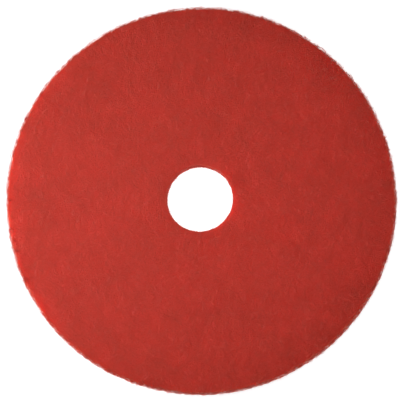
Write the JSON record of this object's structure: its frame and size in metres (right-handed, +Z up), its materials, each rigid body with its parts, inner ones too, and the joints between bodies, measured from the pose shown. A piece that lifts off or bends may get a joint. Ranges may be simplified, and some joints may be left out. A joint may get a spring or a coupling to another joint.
{
  "type": "floor pad",
  "caption": "Round nonwoven fibre pad with a centre hole, driven flat under a rotary floor machine to buff and spray-clean hard floors.",
  "frame": {"origin": "centre of the pad's lower face, the one that lies on the floor", "axes": "+Z up along the pad's axis, from the floor towards the machine's pad holder; X and Y in the plane of the floor"},
  "size_m": [0.5079, 0.508, 0.0254],
  "materials": {
    "face_fibre": "matte",
    "core_fibre": "matte"
  },
  "bodies": {
    "root": {"lower_face_layer": "face_fibre", "core_layer": "core_fibre", "upper_face_layer": "face_fibre"}
  },
  "joints": []
}
